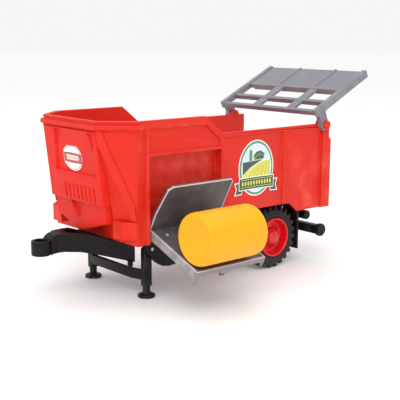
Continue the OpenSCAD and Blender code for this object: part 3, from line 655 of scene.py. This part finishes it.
for side_name, side in SIDES.items():
    add_tyre(side_name)
    turned("rim_%s_turned" % side_name, RIM, side, RIM_RED, "wheel_" + side_name,
           "rim_" + side_name)
    turned("hub_cap_%s_turned" % side_name, HUB, side, RIM_RED, "wheel_" + side_name,
           "hub_cap_" + side_name, steps=64)

# ---------------------------------------------------------------- bale

TIP_DEGREES = 21.4
TIP = math.radians(TIP_DEGREES)
CORNER = np.array([87.0, -47.0, 51.2 - 39.5])
TRAY_HALF = 30.8


def on_tray(along, out, up):
    """Place on the tipped tray: along the trailer, outwards over the deck and up from it, in millimetres."""
    y = CORNER[1] - (out * math.cos(TIP) + up * math.sin(TIP))
    z = CORNER[2] - out * math.sin(TIP) + up * math.cos(TIP)
    return np.stack(np.broadcast_arrays(CORNER[0] + along, y, z), -1)


def add_bale():
    """Bale: a profile turned round the tray's long direction, with straw-like ridges of 0.05 mm."""
    radius, length, start = 17.7, 49.6, -TRAY_HALF + 1.3
    centre_out, centre_up, steps = 41.5, 18.0, 160
    half = length / 2
    profile = fillet_path([
        (0.0, -half + 0.5), (12.4, -half + 0.5), (13.6, -half + 0.02), (radius, -half + 0.02),
        (radius, half - 0.02), (13.6, half - 0.02), (12.4, half - 0.5), (0.0, half - 0.5)],
        [0, 1.4, 1.0, 4.1, 4.1, 1.0, 1.4, 0], 9)
    extra = []
    for i, point in enumerate(profile[:-1]):
        following = profile[i + 1]
        pieces = max(1, int(np.linalg.norm(following - point) / 0.8))
        extra += [point + (following - point) * k / pieces for k in range(pieces)]
    profile = np.array(extra + [profile[-1]])
    turn = np.linspace(0, 2 * np.pi, steps, endpoint=False)[:, None]
    r, a = profile[None, :, 0], profile[None, :, 1]
    ridge = 0.05 * np.sin(0.9 * a + 0.8 * np.sin(3 * turn)) * np.clip(1 - np.abs(a) / half, 0, 1) ** 0.5
    r = r - 0.05 * (r > 17.6) + ridge * (r > 17.0)
    points = on_tray(a + start + half + 0 * turn, centre_out + r * np.cos(turn),
                     centre_up + r * np.sin(turn)) * MM
    mesh = mesh_from("bale", points, grid_faces(steps, len(profile)))
    made = link("bale_moulded", mesh, YELLOW, "bale")
    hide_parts("bale")


add_bale()

# ---------------------------------------------------------------- tray trim

BACK_LEAN_DEGREES = 28.4
BACK_TURN = math.radians(90 + TIP_DEGREES - BACK_LEAN_DEGREES)


def on_back(along, height, proud):
    """Place on the tray's leaning back plate: height up the plate and distance out of its outer face."""
    return on_tray(along, height * math.cos(BACK_TURN) + proud * math.sin(BACK_TURN),
                   height * math.sin(BACK_TURN) - proud * math.cos(BACK_TURN))


def round_edges(made, width_mm):
    bevel = made.modifiers.new("rounding", "BEVEL")
    bevel.width, bevel.segments, bevel.limit_method = width_mm * MM, 2, "ANGLE"
    bevel.harden_normals = True


def rail(name, outer, inner, low, high, place, material, width_mm=0.12):
    """Closed bar between two paths of (u, v): its section is a rectangle from low to high at each station."""
    outer, inner = np.asarray(outer, float), np.asarray(inner, float)
    low, high = np.broadcast_to(low, len(outer)), np.broadcast_to(high, len(outer))
    ring = [place(outer[:, 0], outer[:, 1], high), place(outer[:, 0], outer[:, 1], low),
            place(inner[:, 0], inner[:, 1], low), place(inner[:, 0], inner[:, 1], high)]
    points = np.stack(ring, 1)
    count = len(outer)
    faces = grid_faces(count, 4, wrap_rows=False, wrap_columns=True)
    faces += [[3, 2, 1, 0], [4 * count - 4, 4 * count - 3, 4 * count - 2, 4 * count - 1]]
    made = link(name, mesh_from(name, points * MM, faces, smooth=False), material, "tray")
    round_edges(made, width_mm)
    return made


def add_tray_trim():
    """Skirt round the deck, deep at its ends and shallow between, with a pale lip that is a painted
    highlight, ribs, feet, and a black strip of painted shadow by the right end.
    """
    edge, wall, depth, shallow = 52.8, 2.0, 5.5, 3.3
    left, right, hollow = -TRAY_HALF, TRAY_HALF, edge - wall
    path = [(left, 0.2), (left, edge), (left + 2.2, edge), (left + 3.0, edge),
            (right - 2.4, edge), (right - 1.8, edge), (right, edge), (right, 0.2)]
    inner = [(left + wall, 0.2), (left + wall, hollow), (left + 2.25, hollow), (left + 3.0, hollow),
             (right - 2.4, hollow), (right - 2.1, hollow), (right - wall, hollow), (right - wall, 0.2)]
    low = [-depth, -depth, -depth, -shallow, -shallow, -depth, -depth, -depth]
    skirt = rail("tray_skirt_moulded", path, inner, low, 0.35, on_tray, LIGHT_GREY, 0.25)
    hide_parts("tray_skirt")

    def lip_path(inset):
        return [(left + inset, 0.25), (left + inset, edge - inset),
                (right - inset, edge - inset), (right - inset, 0.25)]

    def bar(name, ends, sides, heights, material, width_mm=0.12):
        """Straight bar of the tray, by its ends along the trailer, its sides outwards and its heights."""
        rail(name, [(ends[0], sides[0]), (ends[0], sides[1])], [(ends[1], sides[0]), (ends[1], sides[1])],
             heights[0], heights[1], on_tray, material, width_mm)

    # Raised lip round the deck; its pale grey is a painted highlight along the edge.
    rail("tray_lip_painted_highlight", lip_path(0.02), lip_path(0.75), 0.1, 0.6, on_tray, HIGHLIGHT_GREY)
    # Ribs that stiffen the skirt, and the two feet and the latch under it.
    for number, along in enumerate((-20.0, 0.0, 20.0)):
        bar("tray_rib_%d" % number, (along - 0.6, along + 0.6), (3.0, hollow + 0.1), (-3.2, -2.0),
            LIGHT_GREY)
    for name, ends, foot in (("left", (left + 0.1, left + 2.6), -9.6),
                             ("right", (right - 1.9, right - 0.1), -6.8)):
        bar("tray_foot_" + name, ends, (edge - 1.6, edge - 0.1), (foot, -depth + 0.3),
            LIGHT_GREY, 0.2)
    bar("tray_latch", (-8.0, 2.0), (edge - 3.0, edge - 0.6), (-6.6, -3.2), LIGHT_GREY, 0.3)
    # Lower lip of the latch in the grey with painted shade.
    bar("tray_latch_lip", (-8.4, -4.6), (edge - 1.4, edge - 0.4), (-7.0, -5.6),
        SHADED_GREY, 0.15)
    # Black strip on the deck by its right end: painted shadow in the gap between the bale and the raised end.
    bar("tray_gap_painted_shadow", (right - 1.7, right - 0.85), (41.0, 51.0), (0.2, 0.4), BLACK, 0.05)
    # Round mark of the mould's ejector on the deck.
    mark = oval(1.1, 1.1, 28, (-21.4, 8.0))
    made = plate("tray_mark", mark, 0.05, on_tray, HIGHLIGHT_GREY, "tray", thickness=0.12)
    round_edges(made, 0.05)
    # Rounded bead along the back plate's top and its slanting front edge; its pale grey is a painted
    # highlight on the plate's edge.
    bead_out = [(left, 1.0), (left, 14.0), (left + 3.4, 33.4), (left + 7, 35.8), (right - 2, 35.8),
                (right, 33.8), (right, 2.0)]
    bead_in = [(left + 0.8, 1.0), (left + 0.8, 13.8), (left + 4.1, 32.9), (left + 7.3, 35.0),
               (right - 2.3, 35.0), (right - 0.8, 33.5), (right - 0.8, 2.0)]
    rail("tray_back_bead_painted_highlight", bead_out, bead_in, -1.0, 0.35, on_back, HIGHLIGHT_GREY, 0.2)


# ---------------------------------------------------------------- labels

LABEL_X, LABEL_Y, LABEL_Z = 154.9, 48.6, 45.1


def plate(name, outline, layer, place, material, body, thickness=0.14):
    """Thin plate: an outline of (u, v) carried from layer to layer + thickness by the place function."""
    outline = np.asarray(outline, float)
    count = len(outline)
    low = place(outline[:, 0], outline[:, 1], np.full(count, layer - 0.1))
    high = place(outline[:, 0], outline[:, 1], np.full(count, layer + thickness))
    faces = [list(range(count))[::-1], list(range(count, 2 * count))]
    faces += [[i, (i + 1) % count, count + (i + 1) % count, count + i] for i in range(count)]
    mesh = mesh_from(name, np.concatenate([low, high]) * MM, faces, smooth=False)
    return link(name, mesh, material, body)


def oval(half_width, half_height, steps=96, shift=(0.0, 0.0)):
    turn = np.linspace(0, 2 * np.pi, steps, endpoint=False)
    return np.stack([shift[0] + half_width * np.cos(turn), shift[1] + half_height * np.sin(turn)], -1)


def clip_to_oval(points, half_width, half_height):
    """Points outside the oval are drawn in to its edge along the line to the centre."""
    points = np.asarray(points, float)
    reach = np.sqrt((points[:, 0] / half_width) ** 2 + (points[:, 1] / half_height) ** 2)
    return points / np.maximum(reach, 1.0)[:, None]


def side_label(side_name):
    """Farm label: oval rings, a field with furrows, a barn and a plain ribbon, in layers on the side wall."""
    side = SIDES[side_name]

    def place(u, v, layer):
        return np.stack([LABEL_X + u, side * (LABEL_Y + layer), LABEL_Z + v], -1)

    def add(piece, outline, layer, ink):
        return plate("label_%s_%s" % (side_name, piece), outline, layer, place, INK[ink], "trailer")

    base = add("base", oval(18.0, 20.9), 0.0, "white")
    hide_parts("side_label_" + side_name)
    add("ring", oval(17.1, 20.0), 0.1, "ring")
    add("inner", oval(15.4, 18.2), 0.2, "white")
    a, b = 14.8, 17.6
    add("sky", oval(a, b), 0.28, "sky")
    # Dark meadow to the left of the hill, whose crest is a curve that rises to the right.
    meadow = [(-14.7, 5.2), (-1.0, 5.6), (6.0, 5.8), (-6.0, 1.0), (-12.0, -3.0), (-14.6, -6.4)]
    add("meadow", clip_to_oval(meadow, a, b), 0.34, "slate")
    crest_x = np.linspace(-14.4, 14.8, 28)
    crest_y = -5.2 + 10.4 * (1 - ((14.8 - crest_x) / 29.2) ** 2.1)
    hill = np.concatenate([np.stack([crest_x, crest_y], -1), [(14.4, -9.5), (-13.6, -9.5)]])
    add("hill_edge", clip_to_oval(hill + (0, 0.5), a, b), 0.38, "white")
    add("hill", clip_to_oval(hill, a, b), 0.42, "field")
    for i in range(6):
        top_x = 3.4 + 1.9 * i
        top_y = np.interp(top_x, crest_x, crest_y) - 0.5
        foot = -12.4 + 4.7 * i
        middle = ((top_x + foot) / 2 + 0.9, (top_y - 9.4) / 2 + 0.9)
        row = [(top_x - 0.3, top_y), (top_x + 0.3, top_y), (middle[0] + 0.7, middle[1]), (foot + 1.7, -9.4),
               (foot, -9.4), (middle[0] - 0.3, middle[1])]
        add("furrow_%d" % i, clip_to_oval(row, a, b - 0.1), 0.47, "furrow")
    # Barn with a pitched roof and a round-topped store beside it.
    add("barn", [(-2.6, 6.1), (-2.6, 9.3), (-0.4, 11.4), (3.6, 12.2), (7.4, 10.4), (7.4, 6.6)], 0.47, "leaf")
    add("barn_roof", [(-3.3, 9.0), (-0.4, 11.8), (3.7, 12.7), (8.2, 10.2), (7.8, 9.3), (3.6, 11.3),
                      (0.1, 10.3), (-2.6, 8.3)], 0.52, "green")
    add("barn_door", [(0.0, 6.2), (0.0, 8.8), (2.8, 8.9), (2.8, 6.3)], 0.52, "slate")
    add("barn_wall", [(3.4, 6.5), (3.4, 9.3), (6.8, 8.8), (6.8, 6.7)], 0.52, "green")
    add("store", [(-7.4, 5.7), (-7.4, 13.0), (-6.8, 13.9), (-5.6, 14.0), (-4.8, 13.2), (-4.7, 5.9)], 0.47,
        "leaf")
    # Ribbon with two folded tails and no lettering.
    for tail in (-1, 1):
        edge = np.array([(14.5, -18.6), (22.4, -19.0), (20.6, -14.4), (22.4, -9.6), (14.5, -9.2)])
        ink = np.array([(15.0, -17.9), (21.2, -18.2), (19.8, -14.3), (21.2, -10.4), (15.0, -10.0)])
        add("tail_edge_%d" % (tail + 1), edge * (tail, 1), 0.3, "white")
        add("tail_%d" % (tail + 1), ink * (tail, 1), 0.36, "green")
    bend = np.linspace(-18.0, 18.0, 25)
    arc = -0.3 * (bend / 18.0) ** 2

    def strip(width, high, low):
        x = bend * width
        return np.concatenate([np.stack([x, arc + high], -1), np.stack([x, arc + low], -1)[::-1]])

    add("ribbon_edge", strip(1.0, -6.0, -15.6), 0.58, "white")
    add("ribbon", strip(0.965, -6.7, -14.9), 0.66, "green")
    # Two thin rules and a row of seeds stand in for words.
    for number, rule in enumerate((-7.9, -13.5)):
        add("rule_%d" % number, strip(0.9, rule + 0.17, rule - 0.17), 0.72, "field")
    for i, x in enumerate(np.linspace(-14.2, 14.2, 11)):
        add("seed_%d" % i, oval(0.85, 1.75, 20, (x, -10.7 - 0.3 * (x / 18.0) ** 2)), 0.72, "field")


add_tray_trim()
for side_name in SIDES:
    side_label(side_name)


def front_badge():
    """Plain oval badge on the leaning front panel: a white plate, two rings and an ear of corn."""
    low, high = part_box("front_badge")
    middle = np.array([(low.x + high.x) / 2 + 0.25 * MM, -0.6 * MM, 98.6 * MM + GROUND]) / MM
    # Run of the panel's face over its height, and what its sinking field adds to that.
    face_run, field_run = 5.75, 0.9
    lean = math.atan2(face_run + field_run, PANEL_TOP - PANEL_LOW)
    along = np.array([-math.sin(lean), 0.0, math.cos(lean)])
    out = np.array([-math.cos(lean), 0.0, -math.sin(lean)])

    def place(u, v, layer):
        spot = middle[None, :] + np.outer(v, along) + np.outer(layer, out)
        spot[:, 1] = middle[1] + u
        return spot

    def add(piece, outline, layer, ink):
        return plate("badge_" + piece, outline, layer, place, INK[ink], "trailer",
                     thickness=0.12)

    half_width, half_height = 11.2, 9.25

    def crest(grow):
        """Outline between an oval and a shield, wider at its shoulders."""
        turn = np.linspace(0, 2 * np.pi, 120, endpoint=False)
        reach = 1 + 0.1 * np.exp(-((np.abs(turn - np.pi) - 2.65) / 0.32) ** 2)
        return np.stack([(half_width * reach + grow) * np.cos(turn), (half_height + grow) * np.sin(turn)], -1)

    base = add("base", crest(0.0), -0.1, "white")
    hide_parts("front_badge")
    add("ring", crest(-0.75), 0.0, "grey")
    add("field", crest(-1.15), 0.06, "white")
    band = np.linspace(-10.8, 10.8, 21)
    lift = 0.5 * (1 - (band / 10.8) ** 2)

    def bulged(x, high, low):
        return np.concatenate([np.stack([x, high + lift], -1), np.stack([x, low - lift], -1)[::-1]])

    add("band_edge", bulged(band, 3.0, -3.3), 0.1, "grey")
    add("band", bulged(band * 0.93, 2.5, -2.8), 0.14, "red")
    # Ear of corn, lying along the band: paired grains on a stalk.
    for i, x in enumerate(np.linspace(-6.4, 6.4, 8)):
        for way in (-1, 1):
            grain = oval(1.15, 0.5, 18)
            slope = 0.6 * way
            cosine, sine = math.cos(slope), math.sin(slope)
            turned_grain = np.stack([grain[:, 0] * cosine - grain[:, 1] * sine + x,
                                     grain[:, 0] * sine + grain[:, 1] * cosine + 1.05 * way], -1)
            add("grain_%d_%d" % (i, way + 1), turned_grain, 0.18, "white")
    add("stalk", [(-8.0, -0.14), (8.0, -0.14), (8.0, 0.14), (-8.0, 0.14)], 0.18, "white")


front_badge()

# ---------------------------------------------------------------- floor and light


def add_floor():
    """Large pale floor just under the wheels."""
    mesh = bpy.data.meshes.new("floor")
    far = 6.0
    mesh.from_pydata([(-far, -far, GROUND), (far, -far, GROUND), (far, far, GROUND), (-far, far, GROUND)], [],
                     [(0, 1, 2, 3)])
    made = bpy.data.objects.new("floor", mesh)
    paint = bpy.data.materials.new("floor_paper")
    paint.use_nodes = True
    graph = Graph(paint.node_tree)
    shader = paint.node_tree.nodes["Principled BSDF"]
    place = graph.node("ShaderNodeTexCoord").outputs["Object"]
    noise = graph.node("ShaderNodeTexNoise", {"Vector": place, "Scale": 9.0, "Detail": 2.0}).outputs[0]
    graph.put(shader.inputs["Base Color"], graph.mix(noise, linear(244, 243, 243), linear(248, 247, 247)))
    shader.inputs["Roughness"].default_value = 0.55
    shader.inputs["Specular IOR Level"].default_value = 0.1
    shader.inputs["Emission Color"].default_value = (1.0, 1.0, 1.0, 1.0)
    shader.inputs["Emission Strength"].default_value = 0.1
    mesh.materials.append(paint)
    bpy.context.scene.collection.objects.link(made)


def add_light(name, place, aim, size, power, colour=(1.0, 1.0, 1.0)):
    """Square soft light at a place, turned to its aim."""
    data = bpy.data.lights.new(name, "AREA")
    data.size, data.energy, data.color = size, power, colour
    made = bpy.data.objects.new(name, data)
    made.location = place
    made.rotation_euler = (Vector(aim) - Vector(place)).to_track_quat("-Z", "Y").to_euler()
    bpy.context.scene.collection.objects.link(made)


add_floor()
AIM = (0.12, 0.0, 0.02)
add_light("key", (-0.55, -0.75, 0.95), AIM, 0.7, 5.6)
add_light("top", (0.2, 0.15, 1.3), AIM, 1.0, 4.0)
add_light("front", (-1.1, -0.3, 0.5), AIM, 0.6, 0.8)

world = bpy.data.worlds.new("studio")
world.use_nodes = True
world.node_tree.nodes["Background"].inputs[0].default_value = (1.0, 1.0, 1.0, 1.0)
world.node_tree.nodes["Background"].inputs[1].default_value = 0.92
bpy.context.scene.world = world
bpy.context.scene.view_settings.view_transform = "Standard"
